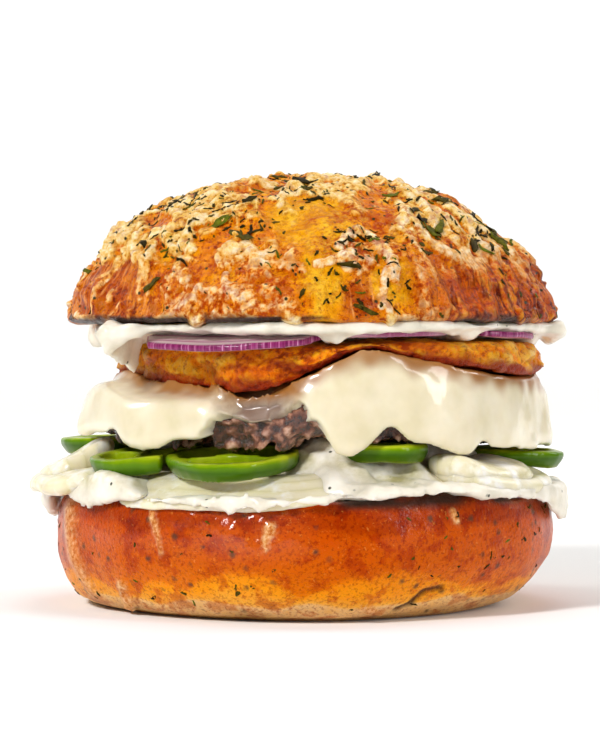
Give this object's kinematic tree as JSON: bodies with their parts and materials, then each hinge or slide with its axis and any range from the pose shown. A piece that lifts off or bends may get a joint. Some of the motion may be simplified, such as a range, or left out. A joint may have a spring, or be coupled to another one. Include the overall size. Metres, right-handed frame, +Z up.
{
  "type": "hamburger",
  "caption": "Tall round hamburger: domed bun with a herb and cheese crust over sauce, red onion, a fried fillet, melted cheese on a beef patty, green pepper rings and white onion.",
  "frame": {"origin": "middle of the flat underside of the heel, on the surface the hamburger stands on", "axes": "+Z up through the layers, -Y towards the side that the picture shows, +X to the right of that side"},
  "size_m": [0.1224, 0.1192, 0.0975],
  "materials": {
    "bun": "glossy baked crust",
    "cream_sauce": "wet, glossy",
    "white_onion": "wet, translucent",
    "green_pepper": "glossy skin",
    "ground_beef": "rough, greasy",
    "melted_cheese": "smooth, glossy",
    "fried_batter": "craggy, oily",
    "red_onion": "wet, translucent"
  },
  "bodies": {
    "root": {"bun_heel": "bun", "lower_sauce": "cream_sauce", "white_onion_front": "white_onion", "white_onion_right_low": "white_onion", "white_onion_right_high": "white_onion", "white_onion_left_low": "white_onion", "white_onion_left_high": "white_onion", "white_onion_back": "white_onion", "pepper_ring_front": "green_pepper", "pepper_ring_front_left": "green_pepper", "pepper_ring_front_right": "green_pepper", "pepper_ring_right": "green_pepper", "pepper_ring_left": "green_pepper", "pepper_ring_back_right": "green_pepper", "pepper_ring_back_left": "green_pepper", "beef_patty": "ground_beef", "melted_cheese": "melted_cheese", "fried_fillet": "fried_batter", "red_onion_front_left": "red_onion", "red_onion_front": "red_onion", "red_onion_right": "red_onion", "red_onion_back_right": "red_onion", "red_onion_back_left": "red_onion", "upper_sauce": "cream_sauce", "bun_crown": "bun"}
  },
  "joints": []
}
